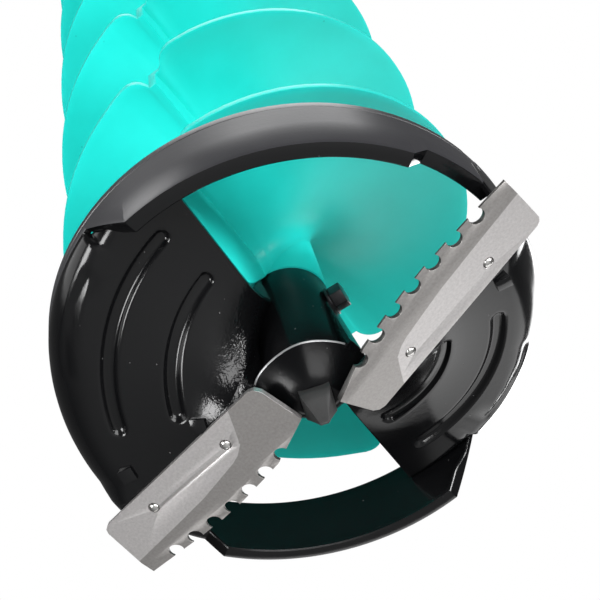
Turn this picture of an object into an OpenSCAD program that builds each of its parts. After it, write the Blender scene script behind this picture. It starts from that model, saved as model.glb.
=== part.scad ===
// Eight-inch ice auger bit for a cordless drill: a steel cutting head with two
// serrated blades, two-start composite flighting and a quick-release drill adapter.
// Heights inside the modules are measured from the low rim of the centering ring.
// place() then puts the origin at the middle of the drill shank, +Z up the bit.

/* [Centering ring] */
// Outside diameter of the ring
ring_od = 189; // [185:0.5:193]
// Height of the ring band
ring_h = 32.6; // [30:0.2:36]
// Wall of the ring band
ring_t = 2.8; // [2:0.1:3]
// Width of the inward lip on the guard stretches
lip_w = 6; // [4:0.5:7]
// Height of the rim where a pan's flange meets the band
pan_rim_z = 24; // [22:0.2:26]
// Height of the rim in the open notch ahead of a blade
notch_z = 8; // [6:0.2:9]

/* [Blades] */
// Length of a blade
blade_len = 95.7; // [94:0.1:96]
// Width of a blade
blade_w = 29; // [28:0.2:30]
// Thickness of a blade
blade_t = 2.4; // [2:0.1:2.6]
// Distance between two gullets
gullet_pitch = 10.65; // [10.2:0.05:10.8]
// Number of gullets in a blade
gullets = 7; // [5:1:7]
// Radius of a gullet
gullet_r = 3; // [2.6:0.1:3.2]
// Angle at which a blade attacks the ice
attack = 16.16; // [14:0.02:18]
// Angle at which a blade rises from the point
cone = 7.125; // [6:0.005:8]

/* [Hub] */
// Outside radius of the hub sleeve
sleeve_r = 17; // [16.5:0.1:17.5]
// Height of the sleeve's top edge
sleeve_top = 50; // [46:1:54]
// Width of the square centre point
point_w = 11.6; // [10:0.2:12.4]
// Height of the hub cross bolt
hub_bolt_z = 34.5; // [30:0.5:38]

/* [Flighting] */
// Outside radius of the flights
flight_r = 88.8; // [86:0.2:90]
// Rise of one flight in half a turn
half_rise = 86.9; // [85:0.1:89]
// Half turns in each of a flight's three sections
section_turns = 3; // [1:1:3]
// Thickness of a flight
flight_t = 3; // [2.6:0.1:3.4]
// Outside radius of the core tube
core_r = 17.3; // [17.2:0.1:17.6]

/* [Drill end] */
// Radius of the round drill shank
shank_r = 6.35; // [6:0.05:6.5]
// Length of the drill shank
shank_len = 44; // [40:1:50]
// Radius of the adapter spigot
spigot_r = 11.1; // [11.05:0.01:11.12]
// Radius of the float disc
disc_r = 120; // [110:1:125]
// Travel of the snap button
button_travel = 4.6; // [4.2:0.1:4.7]

/* [Hidden] */

black = [0.05, 0.05, 0.055];
steel = [0.68, 0.67, 0.66];
zinc = [0.78, 0.78, 0.76];
teal = [0.17, 0.83, 0.79];
fine = 96;
bit = 0.01;               // overshoot of a cutting solid

ring_r = ring_od / 2;
ring_in = ring_r - ring_t;
lip_t = 2.4;
notch_start = -49.5;      // azimuth where the rim has risen to the notch
notch_slope = 47;
pan_start = -34;          // azimuth where a pan's flange begins
flange_end = 50.6;        // azimuth where the flange stops and the rim falls again
guard_slope = 50;
pan_end = 72;             // azimuth of a pan's trailing edge

blade_az = -34.3;         // azimuth of a blade's long axis
blade_z0 = -22.62;        // height of the blade plane on the auger's axis
blade_in = 7;             // inner end of a blade along its own length
blade_front = -6.4;       // cutting edge, measured from the blade's own axis
gullet_line = [-4.5, -5.3, -5.8, -5.7, -5, -3.7, -2.2];
screw_at = [35.5, 77.4];  // screw places along a blade
screw_q = 14.9;           // screw line behind the blade's centre line
screw_r = 2.15;
slope_u = tan(cone);
slope_w = tan(attack) / cos(cone);

pan_t = 2.2;
pan_front = 1;            // front edge of the pan's seat, measured like screw_q
pan_heel = 22.2;          // heel edge of the blade on the pan
floor_in = 42;            // where the pan's inner fillet starts
floor_out = 82;           // where the pan's outer upturn starts
pan_end_in = 17;          // height of the trailing edge near the hub
pan_end_out = 20.5;       // height of the trailing edge near the ring
sleeve_join = 28.5;       // height of the trailing edge on the sleeve
sleeve_fall = 0.32;       // fall of that joint for each degree ahead of the end

sleeve_in = 15;
core_low_r = 14.9;        // core radius inside the sleeve
bolt_r = 3;
bolt_hole = 3.2;

part_az = -108;           // azimuth of the flights' first parting plane
flight_z0 = 56;           // underside of a flight at its start
flight_root = 17.45;      // radius where a flight meets the core
wall_rise = 17.9;         // height of the wall at each parting plane
rim_drop = [12.3, 4.7];   // droop of the rim at the start and end of a half turn
corner_r = 10;            // rounding of a half turn's corners

core_top = 868;
tube_r = 14;
tube_in = 11.2;
tube_low = 792;
tube_top = 912;
tube_bolt_z = 842;
disc_z = 870;
disc_t = 4;
disc_hub_h = 14;
ring_groove_z = 884.6;
button_z = 898;
collar_h = 8;
neck_h = 6;
shank_low = tube_top + 0.3 + collar_h + neck_h;
shank_mid = shank_low + shank_len / 2;

module place() { translate([0, 0, -shank_mid]) children(); }
module both_sides() { for (side = [0, 180]) rotate([0, 0, side]) children(); }
module tube(r_out, r_in, low, top) {
  translate([0, 0, low])
    difference() {
      cylinder(r = r_out, h = top - low, $fn = fine);
      translate([0, 0, -1]) cylinder(r = r_in, h = top - low + 2, $fn = fine);
    }
}
// A stretch of a ring between two azimuths
module sector(r_in, r_out, low, top, from, to) {
  rotate([0, 0, from])
    rotate_extrude(angle = to - from, $fn = fine)
      translate([r_in, low]) square([r_out - r_in, top - low]);
}

// ---- Centering ring ----
module rim_cuts() {
  both_sides() {
    sector(ring_in - 20, ring_r + 1, -1, notch_z, notch_start - 0.2, pan_start + 1);
    sector(ring_in - 20, ring_r + 1, -1, pan_rim_z, pan_start, flange_end + 0.2);
    rim_slope(notch_start, notch_z, notch_slope, -40);
    rim_slope(flange_end, pan_rim_z, -guard_slope, 0);
  }
}
// Cuts everything under a slanted rim that starts just below height z at one azimuth
module rim_slope(az, z, angle, side) {
  rotate([0, 0, az]) translate([ring_in - 20, 0, z - 0.2]) rotate([angle, 0, 0])
    translate([0, side, -50]) cube([ring_t + 30, 40, 50]);
}
module centering_ring() {
  lip_in = ring_r - lip_w;
  color(black) union() {
    difference() {
      union() {
        tube(ring_r, ring_in, 0, ring_h);
        both_sides()
          sector(lip_in, ring_in + 0.4, 0, lip_t, flange_end - 169, notch_start - 4);
      }
      rim_cuts();
    }
    both_sides()
      sector(lip_in, ring_in + 0.4, notch_z, notch_z + lip_t, notch_start + 0.5, pan_start - 0.6);
  }
}

// ---- Cutting pans ----
// Height of the seat plane, the blade's upper face, at a place on the pan
function seat_z(r, az) =
  let(u = r * cos(az - blade_az), q = r * sin(az - blade_az))
  blade_z0 + slope_u * u + slope_w * q + blade_t / (cos(cone) * cos(attack));
function front_az(r) = blade_az + asin(pan_front / r);
function heel_az(r) = blade_az + asin(min(0.9, pan_heel / r));
function mix(a, b, t) = a + (b - a) * t;
function clip(t) = min(1, max(0, t));
function smooth(t) = clip(t) * clip(t) * (3 - 2 * clip(t));
// Share of the way from the heel to the trailing edge
function ramp(r, az) = (az - heel_az(r)) / (pan_end - heel_az(r));
function end_z(r) = mix(pan_end_in, pan_end_out, (r - floor_in) / (floor_out - floor_in));
function floor_z(r, az) =
  let(s = ramp(r, az), z0 = seat_z(r, heel_az(r)))
  s < 0 ? seat_z(r, az) : mix(z0, end_z(r), clip(s + 0.25 * s * (1 - s)));
function join_z(az) = sleeve_join - sleeve_fall * (pan_end - 6 - az);
function pan_z(r, az) =
  let(inner = clip((floor_in - r) / (floor_in - sleeve_r)),
      base = floor_z(max(r, 18), az),
      rise = max(0, join_z(az) - base) * smooth(ramp(max(r, floor_in), az) * 3 - 0.15))
  base + rise * pow(inner, 2.2);

pan_radii = [17.05, 20, 24, 30, 36, 42, 52, 62, 70];
flange_angles = [0, 20, 40, 60, 78, 90, 91];
flange_r = 15;            // rounding between the pan's floor and its flange
seat_bend_r = 10;         // the same beside the blade, clear of the outer screw's washer
flange_share = 0.762;     // share of the ramp that has the full flange
seat_rows = [0, 1 / 3, 2 / 3];
ramp_rows = [for (t = [0:0.05:0.76]) t, flange_share, flange_share + 0.006,
             for (t = [0.8:0.05:1.01]) t];
// Azimuth of a grid row: three rows on the blade seat, then the ramp
function row_az(r, row) =
  row[0] ? mix(front_az(r), heel_az(r), row[1]) : mix(heel_az(r), pan_end, row[1]);
function on_pan(r, az, up) = [r * cos(az), r * sin(az), pan_z(r, az) + up];
// A point of the flange, which turns up from the floor to the band's lower rim
function on_flange(angle, row, up) =
  let(inside = !row[0] && row[1] > flange_share,
      r_out = inside ? ring_in - 0.05 : ring_r,
      az0 = row_az(r_out - flange_r, row),
      room = pan_rim_z - 0.05 - pan_z(r_out, az0),
      bend = min(row[0] ? seat_bend_r : mix(seat_bend_r, flange_r, clip(row[1] / 0.05)), room),
      turn = min(angle, 90),
      r = r_out - bend + bend * sin(turn),
      az = row_az(r, row),
      z = angle > 90 ? pan_z(r_out, az) + room : pan_z(r, az) + bend * (1 - cos(turn)),
      r_up = r - up * sin(turn))
  [r_up * cos(az), r_up * sin(az), z + up * cos(turn)];
function grid_faces(rows, cols) =
  let(top = rows * cols, at = function(i, j, s) s * top + i * cols + j)
  concat(
    [for (i = [0:rows - 2], j = [0:cols - 2]) each
      [[at(i, j, 0), at(i + 1, j, 0), at(i + 1, j + 1, 0)],
       [at(i, j, 0), at(i + 1, j + 1, 0), at(i, j + 1, 0)],
       [at(i, j, 1), at(i + 1, j + 1, 1), at(i + 1, j, 1)],
       [at(i, j, 1), at(i, j + 1, 1), at(i + 1, j + 1, 1)]]],
    [for (j = [0:cols - 2]) each
      [[at(0, j, 0), at(0, j + 1, 0), at(0, j + 1, 1), at(0, j, 1)],
       [at(rows - 1, j, 0), at(rows - 1, j, 1), at(rows - 1, j + 1, 1), at(rows - 1, j + 1, 0)]]],
    [for (i = [0:rows - 2]) each
      [[at(i, 0, 0), at(i, 0, 1), at(i + 1, 0, 1), at(i + 1, 0, 0)],
       [at(i, cols - 1, 0), at(i + 1, cols - 1, 0), at(i + 1, cols - 1, 1), at(i, cols - 1, 1)]]]);
module cutting_pan() {
  rows = concat([for (t = seat_rows) [true, t]], [for (t = ramp_rows) [false, t]]);
  cols = len(pan_radii) + len(flange_angles);
  points = [for (up = [0, pan_t], row = rows) each concat(
    [for (r = pan_radii) on_pan(r, row_az(r, row), up)],
    [for (angle = flange_angles) on_flange(angle, row, up)])];
  color(black) difference() {
    polyhedron(points, grid_faces(len(rows), cols));
    blade_frame()
      for (p = screw_at)
        translate([p, screw_q, -1]) cylinder(r = screw_r + 0.15, h = 12, $fn = 32);
  }
}
module cutting_pan_a() { cutting_pan(); }
module cutting_pan_b() { rotate([0, 0, 180]) cutting_pan(); }

// ---- Blades ----
// Puts a drawing in the plane of a blade's lower face
module blade_frame() {
  translate([0, 0, blade_z0]) rotate([0, 0, blade_az]) rotate([attack, -cone, 0]) children();
}
module blade_outline() {
  back = blade_front + blade_w;
  tip = blade_in + blade_len;
  difference() {
    union() {
      polygon([[blade_in, 3.4], [28, -4.3], [40, -5.7], [52, -6.9], [63, -7.2], [77, -6.8],
               [91, -5.9], [tip, -5.1], [tip - 2.2, back - 3.4], [tip - 3.2, back - 1.6],
               [tip - 5, back - 0.7], [blade_in + 6, back + 1.6], [blade_in + 3.6, back + 0.6],
               [blade_in + 2.2, back - 1.8]]);
    }
    for (i = [0:gullets - 1])
      translate([tip - 15 - i * gullet_pitch, gullet_line[i]]) circle(r = gullet_r, $fn = 32);
  }
}
module blade() {
  color(steel) blade_frame() difference() {
    linear_extrude(blade_t) blade_outline();
    for (p = screw_at)
      translate([p, screw_q, -1]) cylinder(r = screw_r + 0.05, h = blade_t + 2, $fn = 32);
    translate([0, 1.2, 0]) rotate([-12, 0, 0]) translate([-5, -14, -6]) cube([120, 14, 6]);
  }
}
module blade_a() { blade(); }
module blade_b() { rotate([0, 0, 180]) blade(); }
module blade_screws() {
  seat = blade_t + pan_t * cos(cone) * cos(attack);
  color(zinc) both_sides() blade_frame()
    for (p = screw_at)
      translate([p, screw_q, 0]) {
        translate([0, 0, -0.35]) cylinder(r = screw_r, h = seat + 1, $fn = 32);
        translate([0, 0, seat + bit]) cylinder(r = 5.2, h = 1, $fn = 48);
        translate([0, 0, seat + 0.9]) cylinder(r = 4.6, h = 3.4, $fn = 6);
      }
}

// ---- Hub ----
module hub_sleeve() {
  color(black) difference() {
    tube(sleeve_r, sleeve_in, -2, sleeve_top);
    cross_hole(hub_bolt_z, 50);
  }
}
module cross_hole(z, length) {
  translate([0, 0, z]) rotate([0, 90, hub_az]) cylinder(r = bolt_hole, h = length, center = true, $fn = 32);
}
hub_az = -17;
module hub_nose() {
  socket = point_w + 0.2;
  color(black) difference() {
    rotate_extrude($fn = fine)
      polygon([[0, -2.2], [sleeve_r + 0.6, -2.2], [sleeve_r + 0.4, -8], [16, -11.5], [13, -15],
               [9.6, -17.4], [7.6, -18.2], [0, -18.2]]);
    translate([-socket / 2, -socket / 2, -30]) cube([socket, socket, 24]);
    both_sides() blade_frame() translate([-20, -40, -20]) cube([130, 80, 20 + blade_t + 0.1]);
  }
}
module centre_point() {
  half = point_w / 2;
  color(steel) union() {
    translate([-half, -half, -16.6]) cube([point_w, point_w, 10.4]);
    hull() {
      translate([-half, -half, -16.7]) cube([point_w, point_w, 0.1]);
      translate([-1.6, -0.35, -28.4]) cube([3.2, 0.7, 0.1]);
    }
  }
}
module cross_bolt(z, r_out, az) {
  translate([0, 0, z]) rotate([0, 90, az]) {
    translate([0, 0, -r_out - 6.4]) cylinder(r = bolt_r, h = 2 * r_out + 6.4, $fn = 32);
    translate([0, 0, r_out - bit]) cylinder(r = 5.2, h = 5.2, $fn = 6);
  }
}
module cross_nut(z, r_out, az) {
  translate([0, 0, z]) rotate([0, 90, az])
    difference() {
      translate([0, 0, -r_out - 5]) cylinder(r = 5.6, h = 5, $fn = 6);
      translate([0, 0, -r_out - 6]) cylinder(r = bolt_r + 0.02, h = 7, $fn = 32);
    }
}
module cross_washers(z, seat_r, az) {
  translate([0, 0, z]) rotate([0, 90, az])
    for (low = [seat_r, -seat_r - 1.2])
      translate([0, 0, low]) difference() {
        cylinder(r = 6, h = 1.2, $fn = 48);
        translate([0, 0, -1]) cylinder(r = bolt_r + 0.1, h = 4, $fn = 32);
      }
}
module hub_bolt() { color(black) cross_bolt(hub_bolt_z, sleeve_r + 1.3, hub_az); }
module hub_washers() { color(black) cross_washers(hub_bolt_z, sleeve_r + 0.05, hub_az); }
module hub_lock_nut() { color(zinc) cross_nut(hub_bolt_z, sleeve_r + 1.3, hub_az); }

// ---- Flighting ----
module core_tube() {
  color(teal) difference() {
    union() {
      translate([0, 0, 0.5]) cylinder(r = core_low_r, h = 60, $fn = fine);
      translate([0, 0, sleeve_top + 0.1]) cylinder(r = core_r, h = core_top - sleeve_top - 0.1, $fn = fine);
    }
    translate([0, 0, 4]) cylinder(r = 10.5, h = tube_low - 8, $fn = fine);
    translate([0, 0, tube_low]) cylinder(r = tube_r + 0.05, h = core_top, $fn = fine);
    cross_hole(hub_bolt_z, 60);
    cross_hole(tube_bolt_z, 60);
  }
}
// One row of a flight's grid: angle, distances from the parting plane at the root and
// rim, rim radius, underside, upper side and how far the rim of each side droops
function rim_inset(arc) =
  arc >= corner_r ? 0 : corner_r - sqrt(pow(corner_r, 2) - pow(corner_r - arc, 2));
function rim_r(a, d) = a % 180 == 0 ? flight_r - rim_inset(max(draft, abs(d) - flight_t)) : flight_r;
function rim_fall(a) = mix(rim_drop[0], rim_drop[1], a / 180);
function flight_row(k, a, d, low, high, below) =
  [part_az + 180 * k + a, d[0], d[1], rim_r(a, d[1]), low, high, rim_fall(below), rim_fall(a)];
function under(k, a) = flight_z0 + half_rise * k + (half_rise - wall_rise) * a / 180;
draft = 0.4;              // the walls' moulding draft
start_rows = [[draft, draft], [1.4, 6], [2.4, 9.5], [3.6, 14]];
end_rows = [[-5, -14], [-4.4, -9.5], [-3.9, -6], [-flight_t - draft, -flight_t - draft]];
function half_turn_rows(k) = concat(
  [for (d = start_rows) flight_row(k, 0, d, under(k, 0), under(k, 0) + flight_t, 0)],
  [for (a = [22.5:13.5:157.5]) flight_row(k, a, [0, 0], under(k, a), under(k, a) + flight_t, a)],
  [for (d = end_rows) flight_row(k, 180, d, under(k, 180), under(k, 180) + flight_t, 180)]);
function wall_rows(k, low, high) =
  [for (d = [-flight_t, 0]) flight_row(k, 0, [d, d], low, high, 180)];
// A section's rows. The first wall stands on the pan's trailing edge, marked by a low height of zero
function flight_rows(first) = [for (k = [first:first + section_turns - 1]) each concat(
  wall_rows(k, k == 0 ? 0 : under(k - 1, 180), under(k, 0) + flight_t), half_turn_rows(k))];
flight_cols = [0, 0.15, 0.35, 0.7, 0.86, 1];
flat_share = 0.35;        // share of a flight's width that doesn't droop
function flight_point(row, t, up) =
  let(r = mix(flight_root, row[3], t),
      az = row[0] + asin(mix(row[1], row[2], t) / r),
      fall = pow(max(0, (t - flat_share) / (1 - flat_share)), 2),
      floor = row[4] == 0 ? pan_z(r, pan_end) + pan_t + 0.1 : row[4] - row[6] * fall,
      z = up ? row[5] - row[7] * fall : floor)
  [r * cos(az), r * sin(az), z];
module flight(section) {
  rows = flight_rows(section * section_turns);
  points = [for (up = [0, 1], row = rows, t = flight_cols) flight_point(row, t, up == 1)];
  color(teal) polyhedron(points, grid_faces(len(rows), len(flight_cols)));
}
module flight_a_low() { flight(0); }
module flight_a_mid() { flight(1); }
module flight_a_top() { flight(2); }
module flight_b_low() { rotate([0, 0, 180]) flight(0); }
module flight_b_mid() { rotate([0, 0, 180]) flight(1); }
module flight_b_top() { rotate([0, 0, 180]) flight(2); }

// ---- Drill end ----
module drive_tube() {
  color(zinc) difference() {
    tube(tube_r, tube_in, tube_low, tube_top);
    cross_hole(tube_bolt_z, 60);
    tube(tube_r + 1, tube_r - 0.8, ring_groove_z, ring_groove_z + 1.3);
    translate([0, 0, button_z]) rotate([0, 90, 0]) cylinder(r = 4.8, h = 30, $fn = 48);
  }
}
module tube_bolt() { color(zinc) cross_bolt(tube_bolt_z, core_r + 1.3, hub_az); }
module tube_washers() { color(zinc) cross_washers(tube_bolt_z, core_r + 0.05, hub_az); }
module tube_lock_nut() { color(zinc) cross_nut(tube_bolt_z, core_r + 1.3, hub_az); }
module thrust_washer() { color([0.9, 0.88, 0.8]) tube(21, tube_r + 0.1, core_top + 0.02, core_top + 1.52); }
module float_disc() {
  color([0.09, 0.09, 0.1]) difference() {
    union() {
      translate([0, 0, disc_z]) cylinder(r = disc_r, h = disc_t, $fn = 180);
      translate([0, 0, disc_z]) cylinder(r = 25, h = disc_hub_h, $fn = fine);
      for (a = [0:45:315])
        rotate([0, 0, a]) translate([20, -1.5, disc_z + 1]) cube([disc_r - 24, 3, 7.5]);
      tube(disc_r, disc_r - 3.5, disc_z, disc_z + 9);
    }
    translate([0, 0, disc_z - 1]) cylinder(r = tube_r + 0.08, h = 30, $fn = fine);
    for (a = [22.5:45:337.5])
      rotate([0, 0, a]) translate([72, 0, disc_z - 1]) cylinder(r = 17, h = 20, $fn = 48);
  }
}
module retaining_ring() {
  color(steel) difference() {
    tube(tube_r + 2.6, tube_r - 0.75, ring_groove_z + 0.05, ring_groove_z + 1.25);
    translate([tube_r - 4, -2.2, ring_groove_z - 1]) cube([10, 4.4, 4]);
  }
}
module drill_adapter() {
  base = tube_top + 0.3;
  color(zinc) difference() {
    union() {
      translate([0, 0, 856]) cylinder(r1 = spigot_r - 1.2, r2 = spigot_r, h = 1.6, $fn = fine);
      translate([0, 0, 857.6]) cylinder(r = spigot_r, h = base - 857.6 + 1, $fn = fine);
      translate([0, 0, base]) cylinder(r = 15.5, h = collar_h, $fn = fine);
      translate([0, 0, base + collar_h]) cylinder(r1 = 12, r2 = shank_r, h = neck_h, $fn = fine);
      translate([0, 0, shank_low - bit]) cylinder(r = shank_r, h = shank_len - 1 + bit, $fn = fine);
      translate([0, 0, shank_low + shank_len - 1])
        cylinder(r1 = shank_r, r2 = shank_r - 1, h = 1, $fn = fine);
    }
    translate([-8, 0, button_z]) rotate([0, 90, 0]) cylinder(r = 5.5, h = 18.4, $fn = 48);
    translate([0, 0, button_z]) rotate([0, 90, 0]) cylinder(r = 4.75, h = 30, $fn = 48);
  }
}
module snap_button() {
  color(zinc) translate([0, 0, button_z]) rotate([0, 90, 0]) {
    translate([0, 0, 5.6]) cylinder(r = 5.4, h = 3, $fn = 48);
    translate([0, 0, 8.5]) cylinder(r = 4.68, h = 8, $fn = 48);
    translate([0, 0, 16.5]) intersection() {
      cylinder(r = 4.68, h = 3, $fn = 48);
      translate([0, 0, -3.6]) sphere(r = 5.9, $fn = 48);
    }
  }
}
spring_turns = 5;
spring_r = 3.6;
spring_wire = 0.45;
module button_spring() {
  steps = spring_turns * 16;
  sides = 6;
  low = -7.4;
  high = 5.1;
  points = [for (i = [0:steps], j = [0:sides - 1])
    let(a = i * 360 / 16, b = j * 360 / sides, r = spring_r + spring_wire * cos(b))
    [mix(low, high, i / steps) + spring_wire * sin(b), r * cos(a), button_z + r * sin(a)]];
  faces = concat(
    [for (i = [0:steps - 1], j = [0:sides - 1]) let(n = (j + 1) % sides)
      [i * sides + j, (i + 1) * sides + j, (i + 1) * sides + n, i * sides + n]],
    [[for (j = [0:sides - 1]) j], [for (j = [sides - 1:-1:0]) steps * sides + j]]);
  color(steel) polyhedron(points, faces);
}

place() centering_ring();
place() cutting_pan_a();
place() cutting_pan_b();
place() hub_sleeve();
place() hub_nose();
place() centre_point();
place() blade_a();
place() blade_b();
place() blade_screws();
place() hub_bolt();
place() hub_washers();
place() hub_lock_nut();
place() core_tube();
place() flight_a_low();
place() flight_a_mid();
place() flight_a_top();
place() flight_b_low();
place() flight_b_mid();
place() flight_b_top();
place() drive_tube();
place() tube_bolt();
place() tube_washers();
place() tube_lock_nut();
place() thrust_washer();
place() float_disc();
place() retaining_ring();
place() drill_adapter();
place() snap_button();
place() button_spring();
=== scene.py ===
import math
import bmesh
import bpy
from mathutils import Matrix, Vector


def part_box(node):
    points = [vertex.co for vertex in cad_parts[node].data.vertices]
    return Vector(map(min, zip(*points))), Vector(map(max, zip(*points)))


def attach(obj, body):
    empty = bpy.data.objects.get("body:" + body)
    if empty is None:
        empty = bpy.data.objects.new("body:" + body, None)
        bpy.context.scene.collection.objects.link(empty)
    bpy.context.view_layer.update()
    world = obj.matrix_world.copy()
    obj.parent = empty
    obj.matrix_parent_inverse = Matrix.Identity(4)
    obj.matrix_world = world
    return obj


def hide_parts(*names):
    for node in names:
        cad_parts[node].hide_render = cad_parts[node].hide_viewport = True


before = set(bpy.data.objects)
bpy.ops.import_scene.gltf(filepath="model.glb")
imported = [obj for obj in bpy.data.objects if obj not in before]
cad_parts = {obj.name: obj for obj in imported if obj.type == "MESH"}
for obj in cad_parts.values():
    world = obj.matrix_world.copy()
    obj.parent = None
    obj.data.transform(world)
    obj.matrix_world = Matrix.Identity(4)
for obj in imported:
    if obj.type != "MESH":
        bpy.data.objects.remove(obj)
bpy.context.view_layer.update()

milli = 0.001
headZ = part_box("centering_ring")[0][2]  # the ring's low rim, where the drawing heights start
print("frame loaded, low rim at", round(headZ, 4))


class Wire:
    # one output of a node, with the usual operators for sums on values
    def __init__(self, tree, socket=None):
        self.tree = tree
        self.socket = socket

    def make(self, kind, settings=None, values=None, output=0):
        # any node: its settings first, then the values or links of its sockets
        node = self.tree.nodes.new(kind)
        for key, value in (settings or {}).items():
            setattr(node, key, value)
        for key, value in (values or {}).items():
            plug(self.tree, node.inputs[key], value)
        return Wire(self.tree, node.outputs[output])

    def sum(self, operation, *others):
        values = {i: v for i, v in enumerate((self, *others))}
        return self.make("ShaderNodeMath", {"operation": operation}, values)

    def __add__(self, other):
        return self.sum("ADD", other)

    def __mul__(self, other):
        return self.sum("MULTIPLY", other)

    def __pow__(self, other):
        return self.sum("POWER", other)

    def __radd__(self, other):
        return self.sum("ADD", other)

    def __rsub__(self, other):
        return self.make("ShaderNodeMath", {"operation": "SUBTRACT"}, {0: other, 1: self})

    def between(self, low, high):
        # 0 under low, 1 over high, eased between
        return self.make("ShaderNodeMapRange", {"interpolation_type": "SMOOTHSTEP"},
                         {"Value": self, "From Min": low, "From Max": high})

    def blend(self, colourA, colourB):
        # colourA where this is 0, colourB where it is 1
        return self.make("ShaderNodeMix", {"data_type": "RGBA"},
                         {0: self, 6: colourA, 7: colourB}, output=2)

    def noise(self, coords, scale, detail, roughness=0.55):
        return self.make("ShaderNodeTexNoise", None,
                         {"Vector": coords, "Scale": scale, "Detail": detail, "Roughness": roughness})

    def stretch(self, coords, scale=(1, 1, 1), turn=(0, 0, 0)):
        return self.make("ShaderNodeMapping", None,
                         {"Vector": coords, "Scale": scale, "Rotation": turn})

    def part(self, axis):
        return self.make("ShaderNodeSeparateXYZ", None, {0: self}, output="XYZ".index(axis))

    def bump(self, strength, distance, before=None):
        values = {"Height": self, "Strength": strength, "Distance": distance}
        if before:
            values["Normal"] = before
        return self.make("ShaderNodeBump", None, values)


def plug(tree, socket, value):
    if isinstance(value, Wire):
        tree.links.new(value.socket, socket)
    elif hasattr(socket.default_value, "__len__") and len(socket.default_value) == 4:
        socket.default_value = (*value[:3], 1)
    else:
        socket.default_value = value


def startMaterial(name):
    material = bpy.data.materials.new(name)
    material.use_nodes = True
    tree = material.node_tree
    tree.nodes.clear()
    shader = tree.nodes.new("ShaderNodeBsdfPrincipled")
    out = tree.nodes.new("ShaderNodeOutputMaterial")
    tree.links.new(shader.outputs[0], out.inputs[0])
    start = Wire(tree)
    coords = start.make("ShaderNodeTexCoord", output=3)  # object coordinates, metres
    return material, start, coords, shader


def finishMaterial(start, shader, looks):
    for name, value in looks.items():
        plug(start.tree, shader.inputs[name], value)


paint = {
    "black": (0.0032, 0.0033, 0.0037), "dust": (0.2, 0.2, 0.2),
    "rippleFrom": 0.024, "rippleTo": 0.046,  # metres from the axis where the hub's ripple fades
    "bandDark": (0.024, 0.024, 0.027), "bandLight": (0.036, 0.036, 0.04),
}
plastic = {
    "tealDeep": (0.010, 0.560, 0.500), "tealLight": (0.016, 0.640, 0.580), "tealSpeck": (0.01, 0.25, 0.22),
    "discDark": (0.014, 0.014, 0.016), "discLight": (0.024, 0.024, 0.027),
}


def dust(start, coords, scale, amount):
    # sparse specks: 1 inside a speck
    cells = start.make("ShaderNodeTexVoronoi", None, {"Vector": coords, "Scale": scale})
    keep = start.make("ShaderNodeTexVoronoi", None, {"Vector": coords, "Scale": scale}, output=1)
    chosen = keep.part("X").between(1 - amount, 1 - amount + 0.01)
    return (1 - cells.between(0.05, 0.11)) * chosen


def glossPaint(name, hubRipple, rough=0.08, shine=0.3):
    # thick black paint over pressed steel, rippled near the hub where the sheet was drawn
    material, start, coords, shader = startMaterial(name)
    peel = start.noise(coords, 420, 3)
    drift = start.noise(coords, 28, 3)
    specks = dust(start, coords, 330, 0.10)
    x, y = coords.part("X"), coords.part("Y")
    reach = (x * x + y * y) ** 0.5
    nearHub = 1 - reach.between(paint["rippleFrom"], paint["rippleTo"])
    ripple = start.noise(start.stretch(coords, (1, 1, 0.35)), 620, 2, 0.7)
    normal = (peel * 0.5).bump(0.05, 0.0008)
    normal = (ripple * nearHub).bump(hubRipple, 0.0011, normal)
    finishMaterial(start, shader, {
        "Base Color": (specks * 0.5).blend(paint["black"], paint["dust"]),
        "Roughness": rough + drift * 0.16 + specks * 0.3,
        "Normal": normal,
        "Specular IOR Level": shine,
    })
    return material


def satinPaint():
    # the ring's band, the same paint over a rolled strip: broader gloss
    material, start, coords, shader = startMaterial("satin black paint")
    grain = start.noise(coords, 700, 3)
    cloud = start.noise(coords, 22, 4)
    specks = dust(start, coords, 260, 0.08)
    streaks = start.noise(start.stretch(coords, (12, 12, 160)), 3, 4)
    finishMaterial(start, shader, {
        "Base Color": (specks * 0.6).blend(
            (cloud * 0.6).blend(paint["bandDark"], paint["bandLight"]), paint["dust"]),
        "Roughness": 0.24 + cloud * 0.16 + streaks * 0.05,
        "Normal": (grain * 0.6 + streaks * 0.4).bump(0.09, 0.0005),
        "Specular IOR Level": 0.55,
    })
    return material


def tealPlastic():
    # moulded composite: satin skin, faint flow marks and a few dark specks
    material, start, coords, shader = startMaterial("teal composite")
    flow = start.noise(start.stretch(coords, (1, 1, 0.5)), 16, 5)
    skin = start.noise(coords, 900, 2)
    wave = start.noise(coords, 55, 3)
    specks = dust(start, coords, 150, 0.03)
    deep = flow.between(0.3, 0.75)
    colour = deep.blend(plastic["tealDeep"], plastic["tealLight"])
    finishMaterial(start, shader, {
        "Base Color": (specks * 0.5).blend(colour, plastic["tealSpeck"]),
        "Roughness": 0.27 + wave * 0.14 + skin * 0.03,
        "Normal": (skin * 0.3 + wave * 0.7).bump(0.07, 0.0008),
        "Specular IOR Level": 0.28, "Subsurface Weight": 0.12, "Subsurface Scale": 0.01,
        "Subsurface Radius": (0.2, 1.0, 0.9),
    })
    return material


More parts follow.
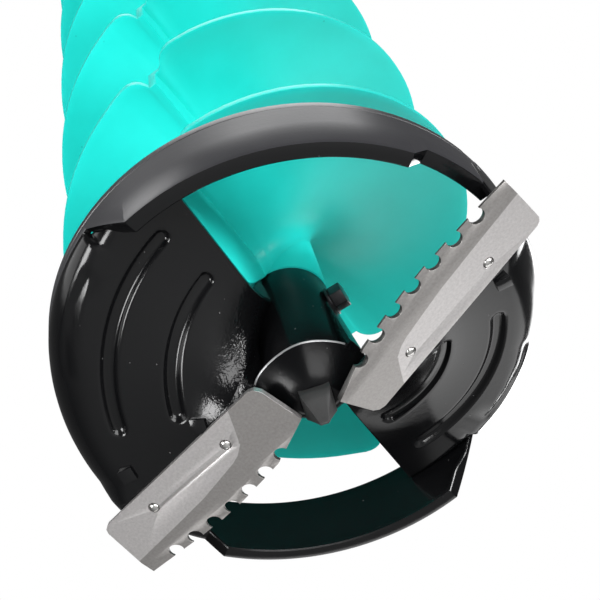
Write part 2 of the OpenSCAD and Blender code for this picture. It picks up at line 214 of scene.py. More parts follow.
def groundSteel(name, tone, rough, along):
    # surface-ground blade steel, its grinding lines running along one of the blade's own axes
    material, start, coords, shader = startMaterial(name)
    own = start.make("ShaderNodeUVMap", {"uv_map": "own"})
    squash = (0.35, 14, 1) if along else (14, 0.35, 1)
    lines = start.noise(start.stretch(own, squash), 26, 4, 0.7)
    fine = start.noise(start.stretch(own, squash), 90, 3, 0.8)
    cloud = start.noise(own, 9, 5, 0.65)
    marks = start.noise(start.stretch(own, (3, 1, 1), (0, 0, 0.7)), 30, 6, 0.7).between(0.58, 0.7)
    light = tuple(min(1, t * 1.14) for t in tone)
    dark = tuple(t * 0.86 for t in tone)
    finishMaterial(start, shader, {
        "Base Color": (cloud * 0.6 + lines * 0.4).between(0.3, 0.7).blend(dark, light),
        "Roughness": rough + cloud * 0.12 + marks * 0.08,
        "Metallic": 0.85 - marks * 0.1,
        "Normal": (lines * 0.5 + fine * 0.5).bump(0.12, 0.0003),
    })
    return material


def metal(name, tone, rough, grain=500, metallic=1.0, speckle=0.0):
    # plain or blackened metal, clouded, with darker grains where it is speckled
    material, start, coords, shader = startMaterial(name)
    cloud = start.noise(coords, 60, 5, 0.6)
    fine = start.noise(coords, grain, 4, 0.7)
    dark = tuple(t * 0.7 for t in tone)
    colour = (cloud * 0.7 + fine * 0.3).between(0.3, 0.7).blend(dark, tone)
    finishMaterial(start, shader, {
        "Base Color": fine.between(0.6, 0.75).blend(colour, tuple(t * (1 - speckle) for t in tone)),
        "Roughness": rough + cloud * 0.14,
        "Normal": fine.bump(0.15, 0.0003),
        "Metallic": metallic,
    })
    return material


def blackPlastic():
    # moulded disc: dark grey with spark-eroded texture
    material, start, coords, shader = startMaterial("black moulded plastic")
    grain = start.noise(coords, 1500, 3)
    cloud = start.noise(coords, 30, 3)
    finishMaterial(start, shader, {
        "Base Color": cloud.blend(plastic["discDark"], plastic["discLight"]),
        "Roughness": 0.42 + cloud * 0.12,
        "Normal": grain.bump(0.25, 0.0002),
    })
    return material


glossBlack = glossPaint("gloss black paint", hubRipple=0.35)
hubBlack = glossPaint("gloss black hub paint", hubRipple=0.03, rough=0.16, shine=0.12)
satinBlack = satinPaint()
teal = tealPlastic()
flatSteel = groundSteel("ground blade flat", (0.60, 0.58, 0.575), 0.36, along=True)
bevelSteel = groundSteel("ground blade bevel", (0.36, 0.345, 0.335), 0.34, along=False)
roughSteel = metal("forged point steel", (0.075, 0.075, 0.075), 0.42, 900, 0.75, 0.4)
# the blade's ground steel made much darker for the gullets' walls: painted shade in the gullets
gulletShadeSteel = metal("gullet steel darkened as painted shade", (0.10, 0.098, 0.095), 0.4, 900, 0.8)
# bright metal for the nose's rounded rim: a painted highlight standing in for the light caught along the rim
paintedHighlightEdge = metal("painted highlight edge", (0.55, 0.55, 0.56), 0.3, 900, 0.8)
screwSteel = metal("bright screw steel", (0.72, 0.71, 0.69), 0.2)
boltBlack = metal("black oxide bolt", (0.02, 0.019, 0.021), 0.26, 700, 0.5)
zincPlate = metal("zinc plate", (0.62, 0.61, 0.58), 0.26)
springSteel = metal("spring steel", (0.45, 0.44, 0.42), 0.3)
nylon = metal("white nylon", (0.78, 0.76, 0.7), 0.4, 800, 0.0)
discPlastic = blackPlastic()
print("materials ready")


def mix(a, b, t):
    return a + (b - a) * t


def clip(t):
    return min(1.0, max(0.0, t))


def smooth(t):
    return clip(t) ** 2 * (3 - 2 * clip(t))


def polar(r, az, z):
    # azimuth in degrees, drawing millimetres
    return Vector((r * math.cos(math.radians(az)), r * math.sin(math.radians(az)), z))


def loopShell(loops):
    # a closed ring of equal loops of points, the last loop joined to the first
    count = len(loops[0])
    faces = []
    for i in range(len(loops)):
        a, b = i * count, (i + 1) % len(loops) * count
        for j in range(count):
            after = (j + 1) % count
            faces.append((a + j, b + j, b + after, a + after))
    return [p for loop in loops for p in loop], faces


def gridShell(lower, upper):
    # a closed sheet between two grids of points with the same rows and columns
    rows, cols = len(lower), len(lower[0])
    points = [p for grid in (lower, upper) for row in grid for p in row]
    def at(i, j, side):
        return side * rows * cols + i * cols + j
    faces = []
    for i in range(rows - 1):
        for j in range(cols - 1):
            faces.append((at(i, j, 0), at(i + 1, j, 0), at(i + 1, j + 1, 0), at(i, j + 1, 0)))
            faces.append((at(i, j, 1), at(i, j + 1, 1), at(i + 1, j + 1, 1), at(i + 1, j, 1)))
    for j in range(cols - 1):
        faces.append((at(0, j, 0), at(0, j + 1, 0), at(0, j + 1, 1), at(0, j, 1)))
        last = rows - 1
        faces.append((at(last, j, 0), at(last, j, 1), at(last, j + 1, 1), at(last, j + 1, 0)))
    for i in range(rows - 1):
        faces.append((at(i, 0, 0), at(i, 0, 1), at(i + 1, 0, 1), at(i + 1, 0, 0)))
        last = cols - 1
        faces.append((at(i, last, 0), at(i + 1, last, 0), at(i + 1, last, 1), at(i, last, 1)))
    return points, faces


def buildObject(name, points, faces, turn=0):
    # drawing millimetres in, metres in the frame out
    spin = Matrix.Rotation(math.radians(turn), 3, "Z")
    mesh = bpy.data.meshes.new(name)
    mesh.from_pydata([spin @ Vector(p) * milli + Vector((0, 0, headZ)) for p in points], [], faces)
    return linkMesh(name, mesh)


def linkMesh(name, mesh):
    piece = bpy.data.objects.new(name, mesh)
    bpy.context.collection.objects.link(piece)
    return piece


def tidyMesh(piece, merge=0.00001):
    # joins points that meet, merge metres apart at most, and turns every face outwards
    work = bmesh.new()
    work.from_mesh(piece.data)
    bmesh.ops.remove_doubles(work, verts=work.verts, dist=merge)
    bmesh.ops.recalc_face_normals(work, faces=work.faces)
    work.to_mesh(piece.data)
    work.free()


def bake(piece):
    # turns the piece's modifiers into a plain mesh
    depsgraph = bpy.context.evaluated_depsgraph_get()
    mesh = bpy.data.meshes.new_from_object(piece.evaluated_get(depsgraph), depsgraph=depsgraph)
    piece.modifiers.clear()
    piece.data = mesh


def roundEdges(piece, width, segments=2, angle=38):
    bevel = piece.modifiers.new("rounding", "BEVEL")
    bevel.width = width * milli
    bevel.segments = segments
    bevel.limit_method = "ANGLE"
    bevel.angle_limit = math.radians(angle)
    bevel.use_clamp_overlap = True
    bevel.harden_normals = False
    bake(piece)


def finishPiece(piece, materials, body, nodes, sharp=40):
    for material in materials:
        piece.data.materials.append(material)
    piece.data.polygons.foreach_set("use_smooth", [True] * len(piece.data.polygons))
    piece.data.set_sharp_from_angle(angle=math.radians(sharp))
    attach(piece, body)
    if nodes:
        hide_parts(*nodes)
    print("made", piece.name, len(piece.data.polygons))
    return piece


def refined(name, node, material, body="auger", width=0.4, segments=2):
    # a welded copy of a node's own shape, its flat triangles joined and its edges rounded
    piece = linkMesh(name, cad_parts[node].data.copy())
    piece.data.materials.clear()
    piece.data.transform(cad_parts[node].matrix_world)
    work = bmesh.new()
    work.from_mesh(piece.data)
    bmesh.ops.remove_doubles(work, verts=work.verts, dist=0.000005)
    bmesh.ops.dissolve_limit(work, angle_limit=math.radians(1.0), verts=work.verts, edges=work.edges)
    work.to_mesh(piece.data)
    work.free()
    if width:
        roundEdges(piece, width, segments)
    return finishPiece(piece, [material], body, [node])


def nodeTree(name, inputs):
    # a tree with a group input for each name and kind, and a group output
    tree = bpy.data.node_groups.new(name, "GeometryNodeTree")
    for key, kind in inputs.items():
        tree.interface.new_socket(key, in_out="INPUT", socket_type=kind)
    tree.interface.new_socket("Geometry", in_out="OUTPUT", socket_type="NodeSocketGeometry")
    return tree, tree.nodes.new("NodeGroupInput"), tree.nodes.new("NodeGroupOutput")


def spinCopies(name, part, count, start, material):
    # copies of a part, evenly spaced round the auger's axis
    tree, given, out = nodeTree(name + " tree", {
        "Part": "NodeSocketObject", "Count": "NodeSocketInt", "Start": "NodeSocketFloat",
        "Finish": "NodeSocketMaterial"})
    def add(kind, **settings):
        node = tree.nodes.new(kind)
        for key, value in settings.items():
            setattr(node, key, value)
        return node
    info = add("GeometryNodeObjectInfo", transform_space="ORIGINAL")
    points = add("GeometryNodeMeshLine", mode="OFFSET")
    points.inputs["Offset"].default_value = (0, 0, 0)
    index = add("GeometryNodeInputIndex")
    step = add("ShaderNodeMath", operation="DIVIDE")
    step.inputs[0].default_value = math.tau
    angle = add("ShaderNodeMath", operation="MULTIPLY_ADD")
    turn = add("ShaderNodeCombineXYZ")
    copies = add("GeometryNodeInstanceOnPoints")
    real = add("GeometryNodeRealizeInstances")
    coat = add("GeometryNodeSetMaterial")
    links = tree.links
    links.new(given.outputs["Part"], info.inputs["Object"])
    links.new(given.outputs["Count"], points.inputs["Count"])
    links.new(given.outputs["Count"], step.inputs[1])
    links.new(index.outputs[0], angle.inputs[0])
    links.new(step.outputs[0], angle.inputs[1])
    links.new(given.outputs["Start"], angle.inputs[2])
    links.new(angle.outputs[0], turn.inputs["Z"])
    links.new(points.outputs[0], copies.inputs["Points"])
    links.new(info.outputs["Geometry"], copies.inputs["Instance"])
    links.new(turn.outputs[0], copies.inputs["Rotation"])
    links.new(copies.outputs[0], real.inputs[0])
    links.new(real.outputs[0], coat.inputs["Geometry"])
    links.new(given.outputs["Finish"], coat.inputs["Material"])
    links.new(coat.outputs[0], out.inputs[0])
    piece = linkMesh(name, bpy.data.meshes.new(name))
    nodes = piece.modifiers.new("copies", "NODES")
    nodes.node_group = tree
    values = {"Part": part, "Count": count, "Start": math.radians(start), "Finish": material}
    for item in tree.interface.items_tree:
        if item.in_out == "INPUT":
            nodes[item.identifier] = values[item.name]
    bake(piece)
    bpy.data.objects.remove(part)
    piece.data.materials.clear()
    return piece


pan = {
    "thickness": 2.2, "sleeveR": 17.0, "rootR": 18,  # inside rootR the floor keeps its height
    "floorIn": 42.0, "floorOut": 82.0, "endIn": 17.0, "endOut": 20.5, "end": 72.0,  # the ramp's end
    "crown": 0.25,  # how much the ramp swells above a straight rise
    "join": 28.5, "joinFall": 0.32, "joinLead": 6,  # where the sheet meets the sleeve, and its fall a degree
    "climb": 2.2, "climbRate": 3, "climbLag": 0.15,  # how sharply and how soon the sheet climbs the sleeve
    "front": 1.0, "heel": 22.2,  # distances of the seat's edges from the blade's line
    "heelMost": 0.9,  # largest sine of the heel's angle, near the sleeve
    "flangeR": 15.0, "seatBendR": 10.0, "bendGrow": 0.05,  # the flange's bend, sharper over the seat
    "flangeShare": 0.762, "rimZ": 24.0, "ringR": 94.5, "ringIn": 91.7, "gap": 0.05,
    "grooveR": (50.6, 73.2), "grooveFrom": (4.0, 1.5), "grooveTo": (59.5, 61.0),
    "grooveHalf": 3.4, "grooveWall": 1.9, "grooveDepth": 2.1,
    "creaseR": 88, "creaseHalf": 2.4, "creaseWall": 1.6, "creaseHeight": 0.9,
    "creaseFrom": 14, "creaseTo": 46, "creaseFade": 4,
    "tabs": ((43.6, -1.0), (78.0, -12.5)), "tabSize": 5.5, "tabDeep": (-0.6, 1.0), "tabTilt": 0.5,
    "hubRadii": [17.05, 17.5, 18.2, 19, 20, 21.2, 22.6, 24.2, 26, 28, 30.4, 33, 36, 39, 42, 44.5],
    "grooveGrid": (45.8, 79.3, 0.72),  # first radius, last radius and step over the grooves
    "bendAngles": [0, 6, 12, 20, 28, 36, 44, 52, 60, 68, 76, 84, 90, 91],  # over 90 is the rim itself
    "bendNudge": 0.02,  # keeps the bend's points in order where it starts inside the grooves' grid
    "seatRows": 10, "rampRows": 116, "edge": 0.5,
}
skirt = {
    "start": -36, "degrees": 47, "low": -4, "step": 1.5, "rows": 22,
    "outR": 17.6, "flare": 0.12, "flareTop": 32, "inR": 17.08,
}
blade = {
    "azimuth": -34.3, "height": -22.62, "attack": 16.16, "cone": 7.125, "thickness": 2.4,
    "screws": (35.5, 77.4), "screwLine": 14.9, "gulletY": 4, "grainScale": 0.1,
    # where the bevel ends: distance along the blade and across it
    "bevel": ((103, 2.35), (82, 3.4), (60, 4.7), (48, 6.4), (40, 7.5), (36, 8.6), (32.6, 10.6), (30.2, 13.2),
              (28.4, 16.2), (26.6, 19.6), (24.9, 22.6), (22.9, 26.5)),
}
slopeAlong = math.tan(math.radians(blade["cone"]))
slopeAcross = math.tan(math.radians(blade["attack"])) / math.cos(math.radians(blade["cone"]))


def seatZ(r, az):
    # height of the blade's upper face, which is the pan's seat
    turn, cone, attack = (math.radians(a) for a in (az - blade["azimuth"], blade["cone"], blade["attack"]))
    rise = blade["thickness"] / math.cos(cone) / math.cos(attack)
    return blade["height"] + slopeAlong * r * math.cos(turn) + slopeAcross * r * math.sin(turn) + rise


def frontAz(r):
    return blade["azimuth"] + math.degrees(math.asin(pan["front"] / r))


def heelAz(r):
    return blade["azimuth"] + math.degrees(math.asin(min(pan["heelMost"], pan["heel"] / r)))


def rampShare(r, az):
    return (az - heelAz(r)) / (pan["end"] - heelAz(r))


def floorZ(r, az):
    share = rampShare(r, az)
    if share < 0:
        return seatZ(r, az)
    end = mix(pan["endIn"], pan["endOut"], (r - pan["floorIn"]) / (pan["floorOut"] - pan["floorIn"]))
    return mix(seatZ(r, heelAz(r)), end, clip(share + pan["crown"] * share * (1 - share)))


def panZ(r, az):
    inner = clip((pan["floorIn"] - r) / (pan["floorIn"] - pan["sleeveR"]))
    base = floorZ(max(r, pan["rootR"]), az)
    joinZ = pan["join"] - pan["joinFall"] * (pan["end"] - pan["joinLead"] - az)
    climbed = smooth(rampShare(max(r, pan["floorIn"]), az) * pan["climbRate"] - pan["climbLag"])
    return base + max(0, joinZ - base) * climbed * inner ** pan["climb"]


def groove(r, az):
    # depth of the pressed stiffening grooves at a place
    depth = 0
    for mid, start, end in zip(pan["grooveR"], pan["grooveFrom"], pan["grooveTo"]):
        outside = max(start - az, 0, az - end) * math.radians(1) * mid
        away = math.hypot(r - mid, outside)
        depth = max(depth, pan["grooveDepth"] * smooth((pan["grooveHalf"] - away) / pan["grooveWall"]))
    return depth


def panPoint(r, share, onSeat):
    # radius and azimuth of a share of the way across the seat, or along the ramp
    az = mix(frontAz(r), heelAz(r), share) if onSeat else mix(heelAz(r), pan["end"], share)
    return r, az


def crease(r, az):
    # the shallow fold along the flange's bend
    across = smooth((pan["creaseHalf"] - abs(r - pan["creaseR"])) / pan["creaseWall"])
    starts = smooth((az - pan["creaseFrom"]) / pan["creaseFade"])
    return pan["creaseHeight"] * across * starts * smooth((pan["creaseTo"] - az) / pan["creaseFade"])


def makeSkirt():
    # the pan's drawn inner edge, which flares away from the sleeve ahead of the blade
    heights = [skirt["low"] + skirt["step"] * j for j in range(skirt["rows"])]
    outer, inner = [], []
    for i in range(skirt["degrees"]):
        az = skirt["start"] + i
        flared = [skirt["outR"] + skirt["flare"] * (skirt["flareTop"] - z) for z in heights]
        outer.append([polar(r, az, z) for r, z in zip(flared, heights)])
        inner.append([polar(skirt["inR"], az, z) for z in heights])
    return gridShell(outer, inner)


def lancedTab(r, az):
    # a small square tongue pushed down out of the sheet
    middle = polar(r, az, panZ(r, az))
    along = (polar(r + 1, az, panZ(r + 1, az)) - middle).normalized()
    side = (polar(r, az + 1, panZ(r, az + 1)) - middle).normalized()
    down = side.cross(along).normalized()
    half = pan["tabSize"] / 2
    points = []
    for deep in pan["tabDeep"]:
        for a, b in ((-1, -1), (1, -1), (1, 1), (-1, 1)):
            lift = deep + (pan["tabTilt"] * (a + 1) if deep > 0 else 0)
            points.append(middle + along * half * a + side * half * b + down * lift)
    sides = [(i, 4 + i, 4 + (i + 1) % 4, (i + 1) % 4) for i in range(4)]
    return points, [(0, 1, 2, 3), (4, 7, 6, 5)] + sides


def makePan(name, node, turn):
    first, last, step = pan["grooveGrid"]
    radii = pan["hubRadii"] + [first + step * i for i in range(math.ceil((last - first) / step))]
    seatRows, rampRows = pan["seatRows"], pan["rampRows"]
    rows = [(True, i / seatRows) for i in range(seatRows)]
    rows += [(False, i / rampRows) for i in range(rampRows + 1)]
    lower, upper = [], []
    for onSeat, share in rows:
        inside = not onSeat and share > pan["flangeShare"]
        outR = pan["ringIn"] - pan["gap"] if inside else pan["ringR"]
        for grid, up in ((lower, 0), (upper, pan["thickness"])):
            line = []
            for r in radii:
                r, az = panPoint(r, share, onSeat)
                line.append(polar(r, az, panZ(r, az) + groove(r, az) + up))
            _, az0 = panPoint(outR - pan["flangeR"], share, onSeat)
            room = pan["rimZ"] - pan["gap"] - panZ(outR, az0)
            grown = 0 if onSeat else clip(share / pan["bendGrow"])
            bend = min(mix(pan["seatBendR"], pan["flangeR"], grown), room)
            for angle in pan["bendAngles"]:
                turned = math.radians(min(angle, 90))
                r = outR - bend + bend * math.sin(turned)
                if r <= radii[-1]:
                    r = radii[-1] + pan["bendNudge"] * (angle + 1)
                r, az = panPoint(r, share, onSeat)
                z = panZ(r, az) + bend * (1 - math.cos(turned)) + crease(r, az)
                if angle > 90:
                    z = panZ(outR, az) + room
                line.append(polar(r - up * math.sin(turned), az, z + up * math.cos(turned)))
            grid.append(line)
    parts = [gridShell(lower, upper), makeSkirt()] + [lancedTab(r, az) for r, az in pan["tabs"]]
    points, faces = joinParts(parts)
    piece = buildObject(name, points, faces, turn)
    tidyMesh(piece)
    roundEdges(piece, pan["edge"], 2, 50)
    return finishPiece(piece, [glossBlack], "auger", [node], 45)


ring = {
    "outR": 94.5, "inR": 91.7, "top": 32.6, "lipW": 6.0, "lipT": 2.4, "edge": 0.7, "leastWall": 3,
    "notchZ": 8.0, "notchStart": -49.5, "notchSlope": 47.0, "notchFall": 4.6,  # slopes and falls in degrees
    "flangeStart": -30.4, "flangeEnd": 50.6, "guardSlope": 50.0, "guardFall": 12.3,
    "panStart": -34.1, "panClear": 0.15,  # the band steps in where the pan's flange passes outside it
    "lipStop": 0.4, "lipFrom": 4, "lipFade": 5,  # degrees before and after the flange
    "lipEdge": 0.5, "lipRoot": 0.6,  # the lip's rounding, and the fillet between it and the band
    "scoreZ": (3.6, 3.8, 4.1, 4.3), "scoreDepth": 0.28,  # the line rolled under the top edge
    "cornerR": 1.6, "cornerIn": 0.45, "fineStep": 0.5, "guardSteps": 30, "notchSteps": 12,
    "nearMarks": (-0.6, -0.3, -0.12, -0.02, 0.02, 0.12, 0.3, 0.6),  # extra sections beside each change
}


def rimLow(az):
    # height of the band's lower rim, the same on both halves
    az = (az + 90) % 180 - 90
    perDegree = math.radians(1) * ring["outR"]
    if ring["flangeStart"] <= az <= ring["flangeEnd"]:
        return pan["rimZ"]
    if ring["notchStart"] <= az < ring["flangeStart"]:
        return ring["notchZ"]
    if az > ring["flangeEnd"]:
        fall = (az - ring["flangeEnd"]) * perDegree * math.tan(math.radians(ring["guardSlope"]))
        return max(0, pan["rimZ"] - fall)
    fall = (ring["notchStart"] - az) * perDegree * math.tan(math.radians(ring["notchSlope"]))
    return max(0, ring["notchZ"] - fall)


def lipWidth(az):
    # how far the rim turns inwards: full on the guard and the notch, none on the flange
    local = (az + 90) % 180 - 90
    if ring["flangeStart"] - ring["lipStop"] <= local <= ring["flangeEnd"] + ring["lipFrom"]:
        return 0
    fadeIn = smooth((local - ring["flangeEnd"] - ring["lipFrom"]) / ring["lipFade"]) if local > 0 else 1
    return (ring["lipW"] - ring["outR"] + ring["inR"]) * fadeIn


def ringProfile(az):
    low, lip = rimLow(az), lipWidth(az)
    outR, inR, top, t = ring["outR"], ring["inR"], ring["top"], ring["lipT"]
    low = min(low, top - t - ring["leastWall"])
    local = (az + 90) % 180 - 90
    if ring["panStart"] < local < ring["flangeStart"]:
        outR -= ring["panClear"]
    edge, lipEdge, corner, cornerIn = ring["edge"], ring["lipEdge"], ring["cornerR"], ring["cornerIn"]
    scoredR = outR - ring["scoreDepth"]
    score = [(r, top - z) for r, z in zip((outR, scoredR, scoredR, outR), ring["scoreZ"])]
    return [
        (outR - edge, top), (outR - edge * 0.3, top - edge * 0.3), (outR, top - edge), *score,
        (outR, mix(low, top, 0.5)), (outR, low + corner), (outR - cornerIn, low + cornerIn),
        (outR - corner, low), (mix(outR - corner, inR - lip, 0.55), low),
        (inR - lip + lipEdge, low), (inR - lip, low + lipEdge),
        (inR - lip, low + t - lipEdge), (inR - lip + 0.4 * min(1, lip), low + t),
        (inR - 0.5 * min(1, lip), low + t), (inR, low + t + ring["lipRoot"]),
        (inR, mix(low, top, 0.5)), (inR, top - edge), (inR + edge, top),
    ]


def makeRing():
    notch, flangeEnd = ring["notchStart"], ring["flangeEnd"]
    steps = set(range(-90, 90))
    changes = [notch, notch - ring["notchFall"], ring["flangeStart"]]
    changes += [flangeEnd, flangeEnd + ring["guardFall"]]
    for mark in changes:
        steps |= {round(mark + d, 3) for d in ring["nearMarks"]}
    steps |= {round(flangeEnd + ring["fineStep"] * i, 3) for i in range(ring["guardSteps"])}
    steps |= {round(notch - ring["fineStep"] * i, 3) for i in range(ring["notchSteps"])}
    azimuths = sorted(steps)
    azimuths += [a + 180 for a in azimuths]
    points, faces = loopShell([[polar(r, az, z) for r, z in ringProfile(az)] for az in azimuths])
    piece = buildObject("centering_ring_painted", points, faces)
    tidyMesh(piece, 0.000002)
    finishPiece(piece, [satinBlack, glossBlack], "auger", ["centering_ring"], 35)
    for face in piece.data.polygons:
        out = Vector((face.center.x, face.center.y, 0)).normalized()
        face.material_index = 0 if face.normal.dot(out) > 0.5 else 1  # satin only on the band's outside
    return piece


flight = {
    "start": -108.0, "height": 56.0, "rise": 86.9, "wall": 17.9,  # heights a half turn, and the step's wall
    "sectionTurns": 3, "thickness": 3.0, "rimR": 88.8, "rootR": 17.45,
    "wallBase": 18, "wallEnd": 36.0, "wallRise": 1.6,  # how the lowest wall meets the pan near the hub
    "wallGap": 0.1,  # between that wall and the sheet it stands on
    "droop": (12.3, 4.7), "flatShare": 0.35, "corner": 10.0, "draft": 0.4, "cove": 8.0, "coveTop": 5.0,
    "turns": (14, 161.5, 43),  # first and last radial row of a half turn, and how many
    "rootShare": (0.235, 0.12),  # how much of their distance at the rim the rows keep at the root
    "ends": (0.9, 1.6, 2.6, 3.8, 5.2, 7, 9, 11.4, 14),  # distances of the rows beside a parting plane
    "across": (0, 0.008, 0.02, 0.035, 0.055, 0.08, 0.11, 0.15, 0.22, 0.3, 0.38, 0.46, 0.54, 0.62,
               0.7, 0.77, 0.84, 0.9, 0.95, 1),  # shares of the way from root to rim
    "edge": 0.7,
}


def underZ(k, a):
    # height of the underside at the root, a degrees into half turn k
    return flight["height"] + flight["rise"] * k + (flight["rise"] - flight["wall"]) * a / 180


def rimInset(arc):
    # how far the rounded corner draws the rim in at a distance from the parting plane
    corner = flight["corner"]
    return 0 if arc >= corner else corner - math.sqrt(corner ** 2 - (corner - arc) ** 2)


def flightRows(section):
    # angle, distances from the parting plane at root and rim, rim radius, heights and droops of both sides
    t, draft = flight["thickness"], flight["draft"]
    rows = []
    def row(k, a, root, rim, low, high, below=None):
        edge = flight["rimR"]
        if a % 180 == 0:
            edge -= rimInset(max(draft, abs(rim) - t))
        droops = [mix(*flight["droop"], b / 180) for b in (a if below is None else below, a)]
        rows.append((flight["start"] + 180 * k + a, root, rim, edge, low, high, droops))
    ends, (startShare, endShare) = [draft, *flight["ends"]], flight["rootShare"]
    fromA, toA, count = flight["turns"]
    first = section * flight["sectionTurns"]
    for k in range(first, first + flight["sectionTurns"]):
        for d in (-t, 0):
            row(k, 0, d, d, underZ(k - 1, 180) if k else None, underZ(k, 0) + t, 180)
        for d in ends:
            z = underZ(k, math.degrees(math.asin((d - draft) / flight["rimR"])))
            row(k, 0, draft + (d - draft) * startShare, d, z, z + t)
        for i in range(count):
            a = mix(fromA, toA, i / (count - 1))
            row(k, a, 0, 0, underZ(k, a), underZ(k, a) + t)
        for d in reversed(ends):
            z = underZ(k, 180 - math.degrees(math.asin((d - draft) / flight["rimR"])))
            row(k, 180, -t - draft - (d - draft) * endShare, -t - d, z, z + t)
    return rows


def makeFlight(name, node, turn, section):
    flat, cove, coveTop = flight["flatShare"], flight["cove"], flight["coveTop"]
    lower, upper = [], []
    for az, root, rim, edge, low, high, droops in flightRows(section):
        lows, highs = [], []
        for share in flight["across"]:
            r = mix(flight["rootR"], edge, share)
            at = az + math.degrees(math.asin(mix(root, rim, share) / r))
            sag = max(0, (share - flat) / (1 - flat)) ** 2
            near = r - flight["rootR"]
            dip = cove - math.sqrt(cove ** 2 - max(0, cove - near) ** 2)
            lift = coveTop - math.sqrt(coveTop ** 2 - max(0, coveTop - near) ** 2)
            if low is None:  # the lowest wall stands on the pan's end
                under = panZ(r, pan["end"]) + pan["thickness"] + flight["wallGap"]
                under = max(under, flight["wallBase"] + flight["wallRise"] * (flight["wallEnd"] - r))
            else:
                under = low - droops[0] * sag - dip
            lows.append(polar(r, at, under))
            highs.append(polar(r, at, high - droops[1] * sag + lift))
        lower.append(lows)
        upper.append(highs)
    points, faces = gridShell(lower, upper)
    piece = buildObject(name, points, faces, turn)
    tidyMesh(piece)
    roundEdges(piece, flight["edge"], 3, 60)
    return finishPiece(piece, [teal], "auger", [node], 50)


def bladeMatrix():
    # from the blade's own axes, x along its line and z up through it, to the drawing
    return (Matrix.Translation((0, 0, blade["height"]))
            @ Matrix.Rotation(math.radians(blade["azimuth"]), 4, "Z")
            @ Matrix.Rotation(math.radians(-blade["cone"]), 4, "Y")
            @ Matrix.Rotation(math.radians(blade["attack"]), 4, "X"))


def bevelLine(p):
    # where the ground bevel meets the flat, across the blade at a distance along it
    if p < blade["bevel"][-1][0]:
        return 99
    for (p1, q1), (p0, q0) in zip(blade["bevel"], blade["bevel"][1:]):
        if p >= p0:
            return mix(q0, q1, (p - p0) / (p1 - p0))


def makeBlade(name, node, turn):
    piece = refined(name, node, flatSteel, width=0.12, segments=1)
    piece.data.materials.append(bevelSteel)
    piece.data.materials.append(gulletShadeSteel)
    spin = Matrix.Rotation(math.radians(turn), 4, "Z")
    toFrame = Matrix.Translation((0, 0, headZ)) @ Matrix.Scale(milli, 4)
    back = (toFrame @ spin @ bladeMatrix()).inverted()
    forward = back.inverted()
    work = bmesh.new()
    work.from_mesh(piece.data)
    bmesh.ops.triangulate(work, faces=work.faces)
    normal = (forward.to_3x3() @ Vector((0, 0, 1))).normalized()
    # score the bevel's boundary into the lower face, one short cut after another
    marks = blade["bevel"]
    for (p0, q0), (p1, q1) in zip(marks, marks[1:]):
        a, b = forward @ Vector((p0, q0, 0)), forward @ Vector((p1, q1, 0))
        side = (b - a).cross(normal)
        bmesh.ops.bisect_plane(work, geom=work.verts[:] + work.edges[:] + work.faces[:],
                               dist=0.000002, plane_co=a, plane_no=side)
    sheet = work.loops.layers.uv.new("own")
    for face in work.faces:
        middle = back @ face.calc_center_median()
        low = face.normal.dot(normal) < -0.5
        face.material_index = 1 if low and middle.y < bevelLine(middle.x) else 0
        if abs(face.normal.dot(normal)) < 0.5 and middle.y < blade["gulletY"]:
            face.material_index = 2  # the walls of the gullets between the teeth, darkened as painted shade
        for loop in face.loops:
            own = back @ loop.vert.co
            loop[sheet].uv = (own.x * blade["grainScale"], own.y * blade["grainScale"])
    work.to_mesh(piece.data)
    work.free()
    return piece


def lathe(profile, steps=48):
    # closed turned shape from (radius, height) pairs, both ends on the axis
    points = [Vector((0, 0, profile[0][1])), Vector((0, 0, profile[-1][1]))]
    inner = profile[1:-1]
    for i in range(steps):
        a = math.tau * i / steps
        points += [Vector((r * math.cos(a), r * math.sin(a), z)) for r, z in inner]
    count = len(inner)
    faces = []
    for i in range(steps):
        here, after = 2 + i * count, 2 + (i + 1) % steps * count
        faces.append((0, after, here))
        faces.append((1, here + count - 1, after + count - 1))
        for j in range(count - 1):
            faces.append((here + j, after + j, after + j + 1, here + j + 1))
    return points, faces


def hexPrism(across, low, high, chamfer=0.6):
    # a nut, by its width over the flats
    r = across / 2 / math.cos(math.radians(30))
    points, faces = [], []
    for z, inset in ((low, chamfer), (low + chamfer * 0.6, 0), (high - chamfer * 0.6, 0), (high, chamfer)):
        for i in range(6):
            a = math.radians(60 * i)
            points.append(Vector(((r - inset) * math.cos(a), (r - inset) * math.sin(a), z)))
    for j in range(3):
        for i in range(6):
            faces.append((j * 6 + i, j * 6 + (i + 1) % 6, j * 6 + 6 + (i + 1) % 6, j * 6 + 6 + i))
    faces += [tuple(range(5, -1, -1)), tuple(range(18, 24))]
    return points, faces


def joinParts(parts):
    points, faces = [], []
    for pts, fcs in parts:
        faces += [tuple(i + len(points) for i in f) for f in fcs]
        points += pts
    return points, faces


screw = {
    "r": 1.92, "count": 2,  # one set of screws on each blade
    "dome": [(0, -0.85), (0.7, -0.8), (1.3, -0.6), (1.7, -0.25), (1.92, 0.2)],
    "seat": 4.5,  # top of the pan's sheet over the blade's lower face; the heights below start there
    "end": (5.4, 5.9), "endInset": 0.4,
    "threadFrom": 0.9, "threads": 7, "pitch": 0.62, "threadDepth": 0.28,
    "washer": [(0, 0.02), (5.2, 0.02), (5.25, 0.5), (5.05, 0.95), (0, 0.95)],
    "nutAcross": 8, "nutFrom": 0.95, "nutTo": 4.4,
}


